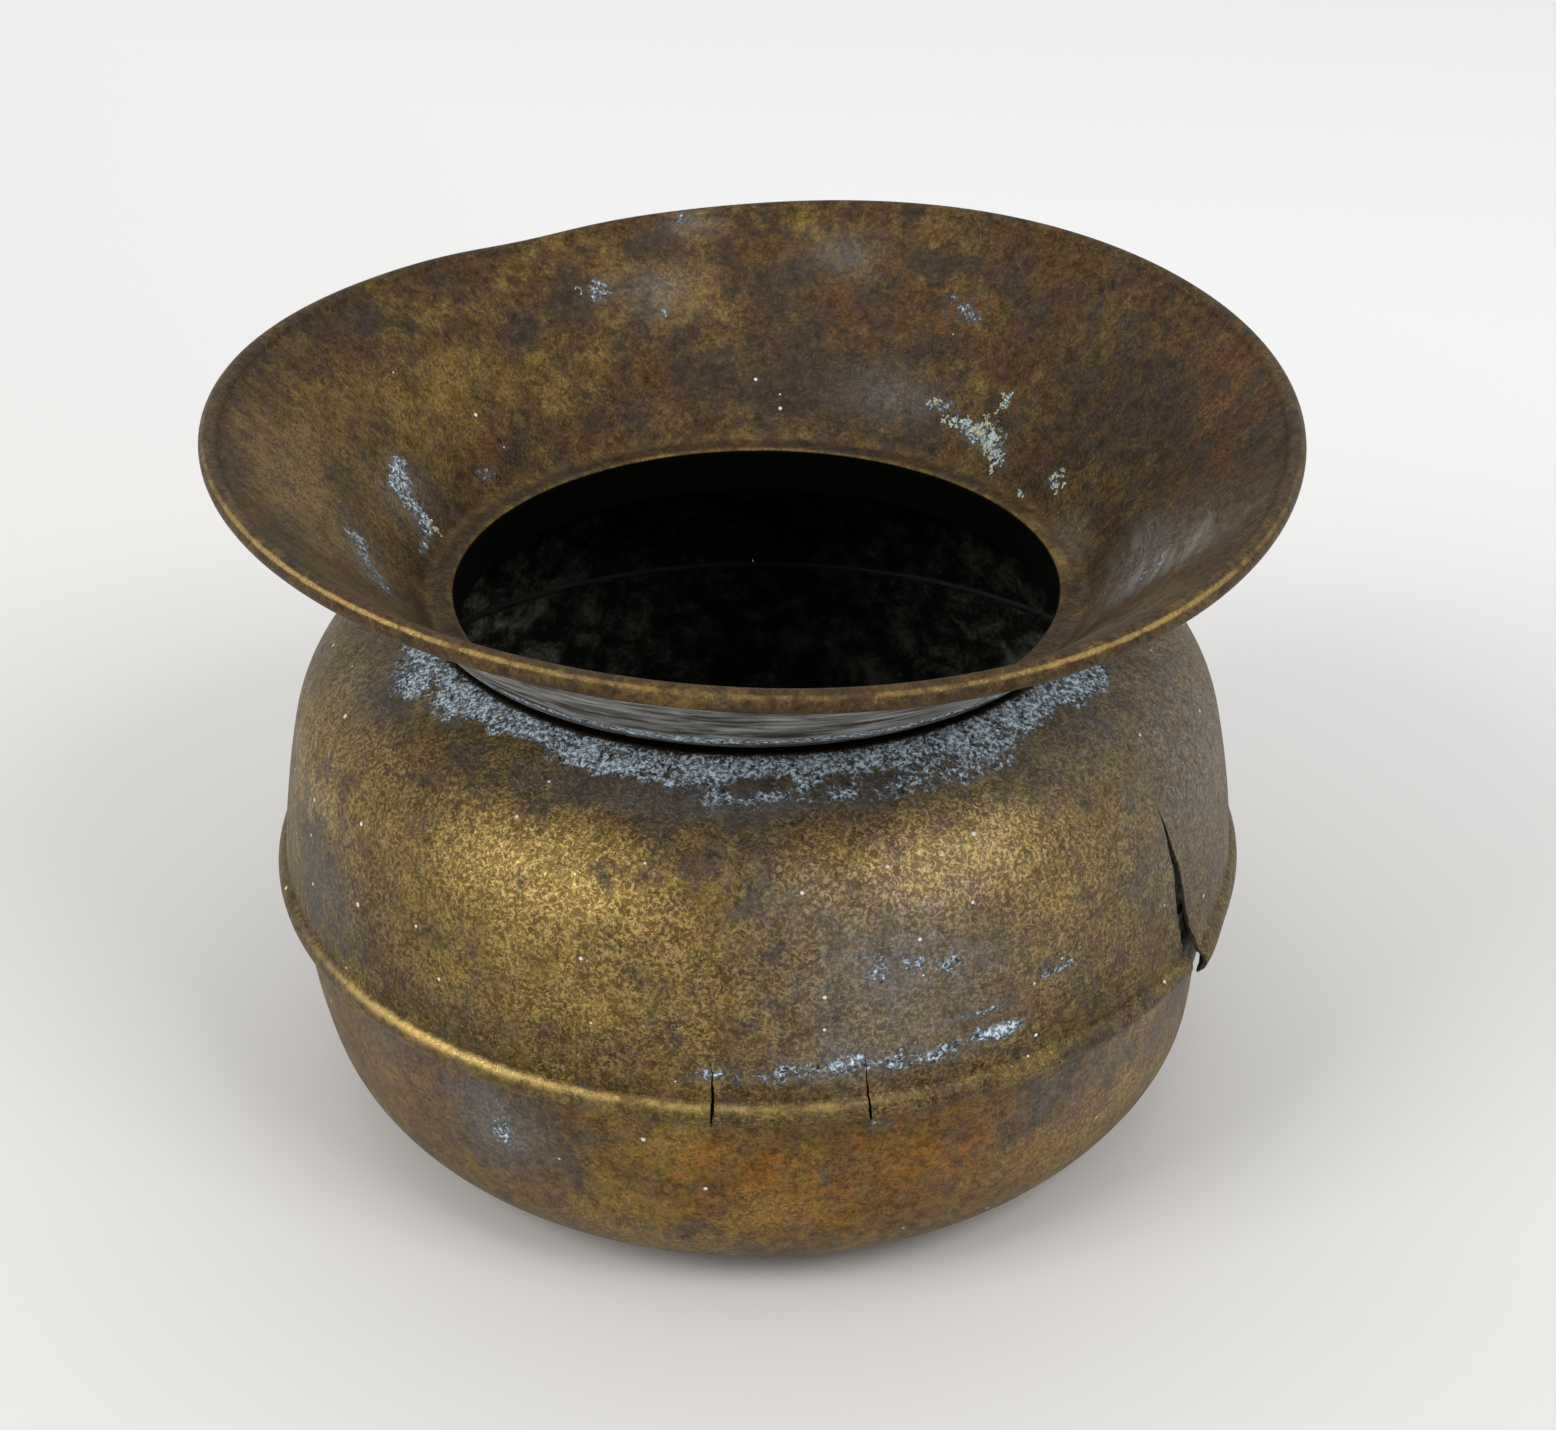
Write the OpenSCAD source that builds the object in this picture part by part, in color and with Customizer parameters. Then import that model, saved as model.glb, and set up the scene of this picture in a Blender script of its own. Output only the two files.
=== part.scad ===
// Brass spittoon, spun from sheet in three shells: a bowl, a shoulder with a hollow bead
// rolled at its foot, and a flared funnel whose edge is curled over a wire.
// The origin is the centre of the base. Millimetres, +Z up, and -Y is the side that is seen first.

/* [Sheet] */
// Thickness of the bowl's sheet
bowl_sheet = 0.8; // [0.5:0.1:1.2]
// Thickness of the shoulder's sheet
shoulder_sheet = 0.7; // [0.5:0.1:1]
// Thickness of the funnel's sheet
funnel_sheet = 0.7; // [0.5:0.1:1]

/* [Bowl] */
// Outer radius of the bowl where its wall is upright
bowl_r = 88.4; // [70:0.1:110]
// Radius of the long curve of the bowl's wall
wall_curve_r = 98; // [80:1:130]
// Angle that the wall's curve turns through
wall_turn = 13.2; // [8:0.1:18]
// Radius of the bowl's heel
heel_r = 25.6; // [18:0.1:32]
// Angle that the heel turns through
heel_turn = 53; // [45:1:58]
// Radius of the easy curve from the heel into the flat base
sole_curve_r = 37; // [20:1:45]
// Height of the collar that stands up inside the shoulder, above the bead
collar_rise = 9.5; // [6:0.1:14]

/* [Bead] */
// Height of the bead's centre above the base
bead_z = 50; // [46:0.1:70]
// Radius of the round that the bead is rolled to
bead_tube_r = 2.9; // [2:0.1:4]
// How far the bead stands out from the bowl's wall
bead_proud = 4; // [3:0.1:5]
// Angle above level at which the bead ends in a crease and the shoulder begins
bead_crease_angle = 66; // [50:1:80]
// Gap between the bead's lower lip and the bowl
lap_gap = 0.05; // [0.02:0.01:0.2]

/* [Shoulder] */
// Lean of the shoulder's wall at the crease
wall_lean = 4.4; // [0:0.1:8]
// Radius of the long curve of the shoulder's wall
shoulder_wall_r = 169; // [140:1:220]
// Lean where the wall's curve ends and the round of the shoulder begins
round_start = 13.3; // [10:0.1:18]
// Radius of the round of the shoulder
shoulder_round_r = 26.4; // [20:0.1:32]
// Lean where the round ends and the top begins
round_end = 62.1; // [56:0.1:66]
// Radius of the shallow dome of the shoulder's top
top_curve_r = 103.5; // [80:0.5:150]
// Clearance of the shoulder's hole outside the rounding under the throat's lip
neck_gap = 0.05; // [0.05:0.05:0.4]

/* [Funnel] */
// Clear radius of the throat
throat_r = 55.6; // [40:0.1:65]
// Depth of the collar below the ledge
collar_drop = 9; // [5:0.5:14]
// Radius of the rounded lip of the throat
lip_r = 1.5; // [1:0.1:3]
// Width of the ledge between the throat and the flare
ledge_w = 3.6; // [2.5:0.1:6]
// Radius of the fillet from the ledge into the flare
ledge_fillet_r = 3; // [1.5:0.1:5]
// Height of the centre of the rim's curl above the base
rim_z = 137; // [125:0.5:160]
// Radius of the centre of the rim's curl
rim_r = 95.4; // [85:0.1:120]
// Angle by which the flare flattens on its way out to the rim
flare_turn = 13; // [6:1:20]
// Outer radius of the curl
curl_r = 1.75; // [1.4:0.05:2.5]
// Angle from the flare's face to where the curl's crease lies, round the curl
curl_crease = 38; // [20:1:50]
// Angle that the curl wraps round the wire
curl_wrap = 310; // [270:5:320]
// Gap between the wire and the curl
wire_gap = 0.05; // [0.02:0.01:0.1]

/* [Solder] */
// Width of the fillet of solder under the shoulder's hole
neck_solder_w = 2.4; // [1:0.1:4]
// Depth of the solder between the bowl's collar and the shoulder
waist_solder_h = 3; // [1:0.1:5]
// Height of the solder heaped on the collar's edge
waist_heap = 1; // [0.3:0.1:2]

/* [Wear] */
// How fast the bend grows from the ledge to the rim
bend_growth = 1.3; // [1:0.1:2]
// Height by which the rim's back stands over the middle, from a knock that bent the funnel forward
lean_rise = 3.7; // [0:0.1:5]
// Height of the saddle that the rim is bent to
saddle_rise = 2; // [0:0.1:3]
// Direction of the saddle's high side
saddle_dir = 32; // [0:1:90]
// Height of the rim's three-lobed wave
three_lobe_rise = 0.34; // [0:0.02:0.6]
// Direction of one of its crests
three_lobe_dir = 57; // [0:1:120]
// Height of the rim's four-lobed wave
four_lobe_rise = 0.33; // [0:0.02:0.6]
// Direction of one of its crests
four_lobe_dir = 71; // [0:1:90]
// Distance by which the rim is pushed forward of the throat
rim_push = 0.9; // [0:0.1:1.5]
// How far the rim is out of round
rim_oval = 0.4; // [0:0.05:0.8]
// Direction of one of the three places where the rim is widest
rim_oval_dir = 49; // [0:1:120]
// Depth of the dent in the rim's back
dent_drop = 0.9; // [0:0.1:2]
// Direction of the dent
dent_dir = 120; // [60:1:150]
// Angle from the dent's middle to where it has faded to a third
dent_spread = 9; // [5:1:20]

/* [Cracks] */
// Direction of the long crack, which has opened wide at the bead
long_crack_dir = 326; // [0:0.5:360]
// Height above the base at which the long crack ends
long_crack_top = 84; // [70:0.5:86]
// Width of the long crack at the bead
long_crack_w = 3; // [1:0.1:4]
// Directions of the short cracks through the bead, two in front and two at the back
short_crack_dirs = [265, 281.3, 90.6, 73]; // [0:0.1:360]
// Width of the short cracks at the bead
short_crack_w = 0.5; // [0.2:0.1:1]
// Height above the collar's top at which the short cracks end
short_crack_rise = 1.6; // [0.5:0.1:3]

/* [Hidden] */
$fn = 180;

// Small gap that keeps solder and sheet from sharing a face
seam_gap = 0.02;
// Angle between the points of a profile's tight rounds
profile_step = 4;
// Angle between the points of its long, easy curves
long_curve_step = 2;
// Angle between the points of the bead
bead_step = 12;
// Points round the funnel's curl, after its crease
curl_points = 11;
// Sections round the funnel
funnel_steps = 90;
// Sides of the wire
wire_sides = 8;

brass_olive = [0.42, 0.34, 0.17];
brass_gold = [0.50, 0.40, 0.19];
brass_brown = [0.36, 0.27, 0.16];
wire_grey = [0.35, 0.33, 0.31];
solder_grey = [0.45, 0.44, 0.41];

// A profile is a list of [radius, height, direction of the outward normal].
// round_on carries it on from its last point along an arc, from one normal to another.
function last(path) = path[len(path) - 1];
function unit(angle) = [cos(angle), sin(angle)];
function xy(point) = [point[0], point[1]];
function round_on(start, r, from, to, step = profile_step) =
    let (count = max(2, ceil(abs(to - from) / step)), centre = xy(start) - r * unit(from))
    [for (i = [0:count]) let (a = from + (to - from) * i / count)
        [each (centre + r * unit(a)), a]];
function sheet(path, thickness) = concat(
    [for (p = path) xy(p)],
    [for (i = [len(path) - 1:-1:0]) xy(path[i]) - thickness * unit(path[i][2])]);

// Bowl, from the collar's top edge down to the middle of the base
bowl_depth = wall_curve_r * sin(wall_turn)
    + heel_r * (sin(wall_turn + heel_turn) - sin(wall_turn))
    + sole_curve_r * (1 - sin(wall_turn + heel_turn));
collar_top = bead_z + collar_rise;
bowl_wall = round_on([bowl_r, bowl_depth], wall_curve_r, 0, -wall_turn);
bowl_heel = round_on(last(bowl_wall), heel_r, -wall_turn, -wall_turn - heel_turn);
bowl_sole = round_on(last(bowl_heel), sole_curve_r, -wall_turn - heel_turn, -90);
bowl_path = concat([[bowl_r, collar_top, 0]], bowl_wall, bowl_heel, bowl_sole, [[0, 0, -90]]);

// Shoulder, from the bead's lower lip up to the edge of its hole
bead_centre = [bowl_r + bead_proud - bead_tube_r, bead_z];
bead_lip_angle = -acos((bowl_r + lap_gap - bead_centre[0]) / bead_tube_r);
bead_round = round_on([each (bead_centre + bead_tube_r * unit(bead_lip_angle))],
    bead_tube_r, bead_lip_angle, bead_crease_angle, bead_step);
shoulder_wall = round_on(last(bead_round), shoulder_wall_r, wall_lean, round_start, long_curve_step);
shoulder_round = round_on(last(shoulder_wall), shoulder_round_r, round_start, round_end);
collar_r = throat_r + funnel_sheet;
neck_hole_r = throat_r + lip_r + neck_gap;
top_centre = xy(last(shoulder_round)) - top_curve_r * unit(round_end);
function top_angle(r) = acos((r - top_centre[0]) / top_curve_r);
shoulder_top = round_on(last(shoulder_round), top_curve_r, round_end, top_angle(neck_hole_r),
    long_curve_step);
shoulder_path = concat(bead_round, shoulder_wall, shoulder_round, shoulder_top);
neck_z = last(shoulder_top)[1];

// Inner face of the shoulder's wall and of its top
wall_centre = xy(last(bead_round)) - shoulder_wall_r * unit(wall_lean);
function wall_inside(z) = wall_centre[0]
    + sqrt(pow(shoulder_wall_r - shoulder_sheet, 2) - pow(z - wall_centre[1], 2));
function top_inside(r) = top_centre[1]
    + sqrt(pow(top_curve_r - shoulder_sheet, 2) - pow(r - top_centre[0], 2));

// Funnel, along its upper face from the collar's foot to the end of the curl
ledge_z = neck_z + seam_gap + funnel_sheet;
ledge_start = [throat_r + lip_r, ledge_z];
ledge_end = [throat_r + ledge_w, ledge_z];
rim_centre = [rim_r, rim_z];
// The flare leaves the fillet at one slope and reaches the curl at a flatter one,
// and the mean of the two is the slope of the line from the ledge to the rim.
mean_slope = atan2(rim_z - ledge_z - curl_r / 3, rim_r - ledge_end[0] - curl_r - ledge_fillet_r / 2);
foot_slope = mean_slope + flare_turn / 2;
rim_slope = mean_slope - flare_turn / 2;
flare_foot = ledge_end + ledge_fillet_r * [sin(foot_slope), 1 - cos(foot_slope)];
crease_point = rim_centre + curl_r * unit(90 + rim_slope + curl_crease);
flare_chord = norm(crease_point - flare_foot);
chord_slope = atan2(crease_point[1] - flare_foot[1], crease_point[0] - flare_foot[0]);
flare_r = flare_chord / (2 * sin(flare_turn / 2));
funnel_lip = [for (a = [180:-30:90]) [each (ledge_start + [0, -lip_r] + lip_r * unit(a)), a]];
funnel_fillet = [for (i = [1:3]) let (slope = foot_slope * i / 3)
    [each (ledge_end + ledge_fillet_r * [sin(slope), 1 - cos(slope)]), 90 + slope]];
funnel_flare = round_on(flare_foot, flare_r, 90 + chord_slope + flare_turn / 2,
    90 + chord_slope - flare_turn / 2, flare_turn / 6);
funnel_curl = [for (i = [0:curl_points]) let (a = 90 + rim_slope + curl_crease - curl_wrap * i / curl_points)
    [each (rim_centre + curl_r * unit(a)), a]];
funnel_path = concat([[throat_r, ledge_z - collar_drop, 180]], funnel_lip, [[each ledge_end, 90]],
    funnel_fillet, [for (i = [1:len(funnel_flare) - 1]) funnel_flare[i]], funnel_curl);

// The knocks that bent the funnel grow from nothing at the ledge to their full size at the rim
function bend(r) = pow(max(0, r - ledge_end[0]) / (rim_r - ledge_end[0]), bend_growth);
function bent(point, a) =
    let (share = bend(point[0]),
        lift = share * (lean_rise * sin(a) + saddle_rise * cos(2 * (a - saddle_dir))
            + three_lobe_rise * cos(3 * (a - three_lobe_dir))
            + four_lobe_rise * cos(4 * (a - four_lobe_dir))
            - dent_drop * exp(-pow((a - dent_dir) / dent_spread, 2))),
        push = share * (rim_oval * cos(3 * (a - rim_oval_dir)) - rim_push * sin(a)),
        r = point[0] + push)
    [r * cos(a), r * sin(a), point[1] + lift];

// A closed ring whose section follows the bent funnel
module bent_ring(section, steps) {
    n = len(section);
    points = [for (i = [0:steps - 1]) for (p = section) bent(p, 360 * i / steps)];
    faces = [for (i = [0:steps - 1]) for (j = [0:n - 1])
        let (a = i * n + j, b = i * n + (j + 1) % n,
            c = ((i + 1) % steps) * n + (j + 1) % n, d = ((i + 1) % steps) * n + j)
        each [[a, d, b], [b, d, c]]];
    polyhedron(points, faces, convexity = 6);
}

// A crack is a slit through the shoulder from below the bead up to its tip. Its line wanders:
// shape is a list of [sideways place, share of the height, share of the width], the tip last.
// The slit starts below the bead and is cut from inside the shell outwards.
long_crack_shape = [[2.6, 0, 1], [1.9, 0.08, 0.8], [0.9, 0.25, 0.6], [-0.2, 0.42, 0.45],
    [0, 0.6, 0.33], [-1.3, 0.73, 0.25], [-2.9, 1, 0.02]];
short_crack_shape = [[0.15, 0, 1], [-0.15, 0.5, 0.6], [0.15, 1, 0.1]];
crack_foot = bead_z - 2 * bead_tube_r;
module crack(dir, shape, width, top) {
    foot = [shape[0][0], crack_foot, width];
    line = concat([foot], [for (p = shape) [p[0], bead_z + p[1] * (top - bead_z), p[2] * width]]);
    left = [for (p = line) [p[0] - p[2] / 2, p[1]]];
    right = [for (i = [len(line) - 1:-1:0]) [line[i][0] + line[i][2] / 2, line[i][1]]];
    rotate([0, 0, dir]) rotate([90, 0, 90]) translate([0, 0, bowl_r / 2])
        linear_extrude(height = bowl_r) polygon(concat(left, right));
}

module bowl() {
    color(brass_brown)
        rotate_extrude() polygon(sheet(bowl_path, bowl_sheet));
}

module shoulder() {
    color(brass_gold) difference() {
        rotate_extrude() polygon(sheet(shoulder_path, shoulder_sheet));
        crack(long_crack_dir, long_crack_shape, long_crack_w, long_crack_top);
        for (dir = short_crack_dirs)
            crack(dir, short_crack_shape, short_crack_w, collar_top + short_crack_rise);
    }
}

module funnel() {
    color(brass_olive) bent_ring(sheet(funnel_path, funnel_sheet), funnel_steps);
}

module rim_wire() {
    wire_r = curl_r - funnel_sheet - wire_gap;
    color(wire_grey) bent_ring(
        [for (i = [0:wire_sides - 1]) rim_centre + wire_r * unit(-360 * i / wire_sides)], funnel_steps);
}

// Soft solder run into the gap between the shoulder's hole and the funnel's collar, up to where
// the collar rounds into the lip, with a hollow fillet of it under the shoulder
module neck_solder() {
    inner = collar_r + seam_gap;
    outer = neck_hole_r + neck_solder_w;
    edge = neck_hole_r - shoulder_sheet * cos(top_angle(neck_hole_r)) - seam_gap;
    under = top_inside(neck_hole_r) - seam_gap;
    hollow = neck_solder_w / 3;
    color(solder_grey) rotate_extrude() polygon([
        [inner, ledge_z - lip_r], [edge, neck_z - shoulder_sheet / 2], [edge, under],
        [outer, top_inside(outer) - seam_gap], [inner + hollow, under - hollow],
        [inner, under - neck_solder_w]]);
}

// Soft solder between the bowl's collar and the shoulder, heaped a little on the collar's edge
module waist_solder() {
    inner = bowl_r + seam_gap;
    foot = collar_top - waist_solder_h;
    crest = collar_top + waist_heap;
    color(solder_grey) rotate_extrude() polygon([
        [inner, foot], [wall_inside(foot) - seam_gap, foot],
        [wall_inside(collar_top) - seam_gap, collar_top], [wall_inside(crest) - seam_gap, crest],
        [(bowl_r + wall_inside(crest)) / 2, collar_top + waist_heap / 3],
        [bowl_r - bowl_sheet / 2, collar_top + seam_gap], [inner, collar_top + seam_gap]]);
}

bowl();
shoulder();
funnel();
rim_wire();
neck_solder();
waist_solder();
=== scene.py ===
# Brass spittoon, spun from sheet in three shells: a bowl, a shoulder with a hollow bead rolled
# at its foot, and a funnel whose edge is curled over a wire. It has a century of handling,
# damp and one hard knock on it. +Z is up and -Y is the side that is seen first. Lengths are in mm
# where MM turns them to metres, as in every mesh, and in metres for the camera, floor and lights.
import math

import bmesh
import bpy
import numpy as np
from mathutils import Matrix, Vector


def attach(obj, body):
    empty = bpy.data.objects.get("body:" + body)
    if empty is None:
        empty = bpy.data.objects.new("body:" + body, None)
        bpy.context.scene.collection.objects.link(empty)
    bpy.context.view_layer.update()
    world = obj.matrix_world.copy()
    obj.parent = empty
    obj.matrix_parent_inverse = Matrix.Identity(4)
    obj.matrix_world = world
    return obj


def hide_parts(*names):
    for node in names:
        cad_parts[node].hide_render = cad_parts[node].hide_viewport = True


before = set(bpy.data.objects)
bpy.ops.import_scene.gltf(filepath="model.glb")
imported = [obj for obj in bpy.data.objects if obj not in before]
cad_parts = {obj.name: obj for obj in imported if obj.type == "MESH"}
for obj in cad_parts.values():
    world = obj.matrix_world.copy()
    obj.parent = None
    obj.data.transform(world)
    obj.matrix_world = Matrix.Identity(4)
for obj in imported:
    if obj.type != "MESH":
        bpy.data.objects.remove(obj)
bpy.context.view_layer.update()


# ---- Camera
# The photographer stood over the spittoon and looked down 30 degrees into its mouth. The eye's place
# and the turns, in radians, come from the rim, throat and bead in the photograph.
SENSOR_W, FOCAL_PX, PICTURE_W = 36, 2600, 1556
EYE_Y, EYE_Z = -0.42743, 0.32489
LOOK_DOWN, LOOK_ASIDE, ROLL = 0.5320190, 0.0092, -0.0025258


def new_object(name, data):
    """A new object, put in the scene."""
    thing = bpy.data.objects.new(name, data)
    bpy.context.scene.collection.objects.link(thing)
    return thing


camera_data = bpy.data.cameras.new("camera")
camera_data.sensor_width = SENSOR_W
camera_data.lens = SENSOR_W * FOCAL_PX / PICTURE_W
camera = new_object("camera", camera_data)
level = math.cos(LOOK_DOWN)
ahead = Vector((math.sin(LOOK_ASIDE) * level, math.cos(LOOK_ASIDE) * level, -math.sin(LOOK_DOWN)))
right = Vector((math.cos(LOOK_ASIDE), -math.sin(LOOK_ASIDE), 0))
up = right.cross(ahead)
right, up = (right * math.cos(ROLL) + up * math.sin(ROLL), up * math.cos(ROLL) - right * math.sin(ROLL))
camera.matrix_world = Matrix((
    (right.x, up.x, -ahead.x, 0),
    (right.y, up.y, -ahead.y, EYE_Y),
    (right.z, up.z, -ahead.z, EYE_Z),
    (0, 0, 0, 1)))
bpy.context.scene.camera = camera


# ---- Bowl
# The lower shell, spun from brass sheet 0.8 mm thick over a wooden chuck. It is flat underneath,
# and its plain upper edge, the collar, is pushed up inside the shoulder and soldered there.
BOWL_SHEET = 0.8
BOWL_R, COLLAR_TOP = 88.4, 59.5
WALL_CURVE_R, WALL_TURN, HEEL_R, HEEL_TURN, SOLE_CURVE_R = 98, 13.2, 25.6, 53, 37
BOWL_DENT, BOWL_DENT_DIR, BOWL_DENT_Z = 1.9, 344, 32
BEAD_COVERS_FROM = 47.6
MM = 0.001
COLUMNS = 360
TEAR_REACH = math.radians(5)
LAYERS = ("inside", "mould_and_light", "streaks", "olive", "gold", "wear_and_highlight", "red", "dark", "haze", "verdigris")


def on_round(path, radius, start, end, step):
    """Carries a profile of (radius, height) on along an arc whose outward normal turns from start to end, in
    degrees, with its points step mm apart or less."""
    turn = math.radians(end - start)
    count = max(2, math.ceil(abs(turn) * radius / step))
    cr = path[-1][0] - radius * math.cos(math.radians(start))
    cz = path[-1][1] - radius * math.sin(math.radians(start))
    for i in range(1, count + 1):
        a = math.radians(start) + turn * i / count
        path.append((cr + radius * math.cos(a), cz + radius * math.sin(a)))


def straight(path, end, step):
    """Carries a profile on along a straight line to end, with its points step mm apart or less."""
    (r0, z0), (r1, z1) = path[-1], end
    count = max(1, math.ceil(math.hypot(r1 - r0, z1 - z0) / step))
    path += [(r0 + (r1 - r0) * i / count, z0 + (z1 - z0) * i / count) for i in range(1, count + 1)]


def other_face(path, thickness):
    """The other face of the sheet: the profile moved in by the sheet's thickness, mitred at its creases."""
    p = np.array(path)
    run = np.diff(p, axis=0)
    run /= np.linalg.norm(run, axis=1)[:, None]
    side = np.stack([-run[:, 1], run[:, 0]], 1)
    before, after = np.vstack([side[:1], side]), np.vstack([side, side[-1:]])
    middle = before + after
    middle /= np.linalg.norm(middle, axis=1)[:, None]
    return p + middle * (thickness / np.maximum(0.5, (middle * after).sum(1)))[:, None]


def hump(value, middle, reach):
    """1 where value is at the middle, and a soft fall on both sides, to a third at reach."""
    return np.exp(-((value - middle) / reach) ** 2)


def turned_from(direction, a):
    """How far angle a, in radians, is turned on from a direction in degrees, up to half a turn either way."""
    return (a - math.radians(direction) + math.pi) % (2 * math.pi) - math.pi


def spun_shell(name, outer, inner, form, tears=()):
    """Turns a sheet's two faces round the axis as one closed skin, and bends it by form. Returns the piece,
    with each point's row and face (0 outer, 1 inner). A tear is (direction, rows, middle, gap): it is open
    from the first row up through that many rows, and middle and gap give its line and its width in mm at
    every row."""
    profiles = np.array([outer, inner], float)
    rows = len(outer)
    to_axis = profiles[0, -1, 0] < 1e-6
    half = rows * COLUMNS if not to_axis else (rows - 1) * COLUMNS + 1
    step = 2 * math.pi / COLUMNS
    angle = np.tile(np.arange(COLUMNS) * step, (rows, 1))
    torn = {}
    for direction, length, middle, gap in tears:
        a, row_r = math.radians(direction), profiles[0, :, 0][:, None]
        column = int(round(a / step - 0.5)) % COLUMNS
        torn[column] = length
        away = (np.arange(COLUMNS) - (column + 0.5) + COLUMNS / 2) % COLUMNS - COLUMNS / 2
        pull = np.exp(-(np.maximum(0, abs(away) - 0.5) * step / TEAR_REACH) ** 2)[None, :]
        shift = (a - (column + 0.5) * step) + middle[:, None] / row_r
        angle += pull * (shift + np.sign(away)[None, :] * (gap[:, None] / row_r - step) / 2)
    skins = []
    for profile in profiles:
        r, z = (np.repeat(side[:, None], COLUMNS, axis=1) for side in profile.T)
        r, z = form(r, z, angle)
        skins.append(np.stack([r * np.cos(angle), r * np.sin(angle), z], -1).reshape(-1, 3)[:half])

    def at(i, j, face):
        return face * half + min(i * COLUMNS + j % COLUMNS, half - 1)

    faces = []
    for j in range(COLUMNS):
        k, first = j + 1, torn.get(j, 0)
        for i in range(first, rows - 1):
            for face in (0, 1):
                corners = at(i, j, face), at(i, k, face), at(i + 1, k, face), at(i + 1, j, face)
                faces.append(tuple(dict.fromkeys(corners)))
        faces.append((at(first, j, 0), at(first, k, 0), at(first, k, 1), at(first, j, 1)))
        if not to_axis:
            faces.append((at(rows - 1, j, 0), at(rows - 1, k, 0), at(rows - 1, k, 1), at(rows - 1, j, 1)))
        for i in range(first):
            for edge in (j, k):
                faces.append((at(i, edge, 0), at(i + 1, edge, 0), at(i + 1, edge, 1), at(i, edge, 1)))
    mesh = bpy.data.meshes.new(name)
    mesh.from_pydata((np.vstack(skins) * MM).tolist(), [], faces)
    shell = bmesh.new()
    shell.from_mesh(mesh)
    bmesh.ops.recalc_face_normals(shell, faces=shell.faces)
    shell.to_mesh(mesh)
    shell.free()
    mesh.shade_smooth()
    mesh.set_sharp_from_angle(angle=math.radians(40))
    piece = new_object(name, mesh)
    row = np.tile(np.repeat(np.arange(rows), COLUMNS)[:half], 2)
    return piece, row, np.repeat([0.0, 1.0], half)


def points_of(mesh):
    """The x, y and z of a mesh's points."""
    co = np.empty(len(mesh.vertices) * 3)
    mesh.vertices.foreach_get("co", co)
    return co.reshape(-1, 3).T


def direction_of(mesh):
    """Each point's direction round the axis, in degrees."""
    x, y, _ = points_of(mesh)
    return np.degrees(np.arctan2(y, x)) % 360


def layer(mesh, name, stains=(), under=0.0, face=1.0):
    """Lays one kind of stain on a shell, as a value a point that its finish reads, which is 0 where a shell
    has no such layer. A stain is (direction, radius, height, breadth, length, strength): it lies there with
    soft edges, breadth across and length up the slope, in mm. It adds to what is under it, and face says
    which points it shows on."""
    x, y, z = points_of(mesh) / MM
    r, a = np.hypot(x, y), np.arctan2(y, x)
    value = np.zeros(len(r)) + under
    for direction, stain_r, stain_z, breadth, length, strength in stains:
        across = turned_from(direction, a) * stain_r
        along = np.hypot(r - stain_r, z - stain_z)
        value += strength * np.exp(-(across / breadth) ** 2 - (along / length) ** 2)
    values = mesh.attributes.new(name, "FLOAT", "POINT")
    values.data.foreach_set("value", np.clip(value * face, 0, 1.5).astype(np.float32))


class Nodes:
    """Writes a node tree in short lines: each call adds a node and returns its output."""

    def __init__(self, tree):
        self.tree = tree

    def add(self, kind, inputs, **settings):
        node = self.tree.nodes.new(kind)
        for key, value in settings.items():
            setattr(node, key, value)
        for key, value in inputs.items():
            self.put(node.inputs[key], value)
        return node.outputs

    def put(self, socket, value):
        if isinstance(value, bpy.types.NodeSocket):
            self.tree.links.new(value, socket)
        elif socket.type == "RGBA":
            socket.default_value = (*value, 1)
        else:
            socket.default_value = value

    def math(self, operation, a, b=0.0, clamp=False):
        return self.add("ShaderNodeMath", {0: a, 1: b}, operation=operation, use_clamp=clamp)[0]

    def sum(self, a, b, share=1.0):
        return self.add("ShaderNodeMath", {0: b, 1: share, 2: a}, operation="MULTIPLY_ADD")[0]

    def times(self, a, b):
        return self.math("MULTIPLY", a, b)

    def less(self, a, b):
        """What is left of a where b lies over it."""
        return self.times(a, self.math("SUBTRACT", 1.0, b, clamp=True))

    def range(self, value, low, high, to_low=0.0, to_high=1.0):
        return self.add("ShaderNodeMapRange", {"Value": value, "From Min": low, "From Max": high,
                        "To Min": to_low, "To Max": to_high}, interpolation_type="SMOOTHSTEP")["Result"]

    def noise(self, place, scale, detail=2.0, roughness=0.5, distortion=0.0, shift=(0, 0, 0)):
        moved = self.add("ShaderNodeVectorMath", {0: place, 1: shift}, operation="ADD")[0]
        return self.add("ShaderNodeTexNoise", {"Vector": moved, "Scale": scale, "Detail": detail,
                        "Roughness": roughness, "Distortion": distortion})["Fac"]

    def mix(self, share, a, b):
        return self.add("ShaderNodeMix", {0: share, 6: a, 7: b}, data_type="RGBA")[2]

    def shade(self, colour, amount):
        return self.add("ShaderNodeVectorMath", {0: colour, "Scale": amount}, operation="SCALE")[0]

    def blend(self, share, a, b):
        return self.add("ShaderNodeMix", {0: share, 2: a, 3: b}, data_type="FLOAT")[0]

    def use(self, effect, inputs):
        return self.add("ShaderNodeGroup", inputs, node_tree=effect)


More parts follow.
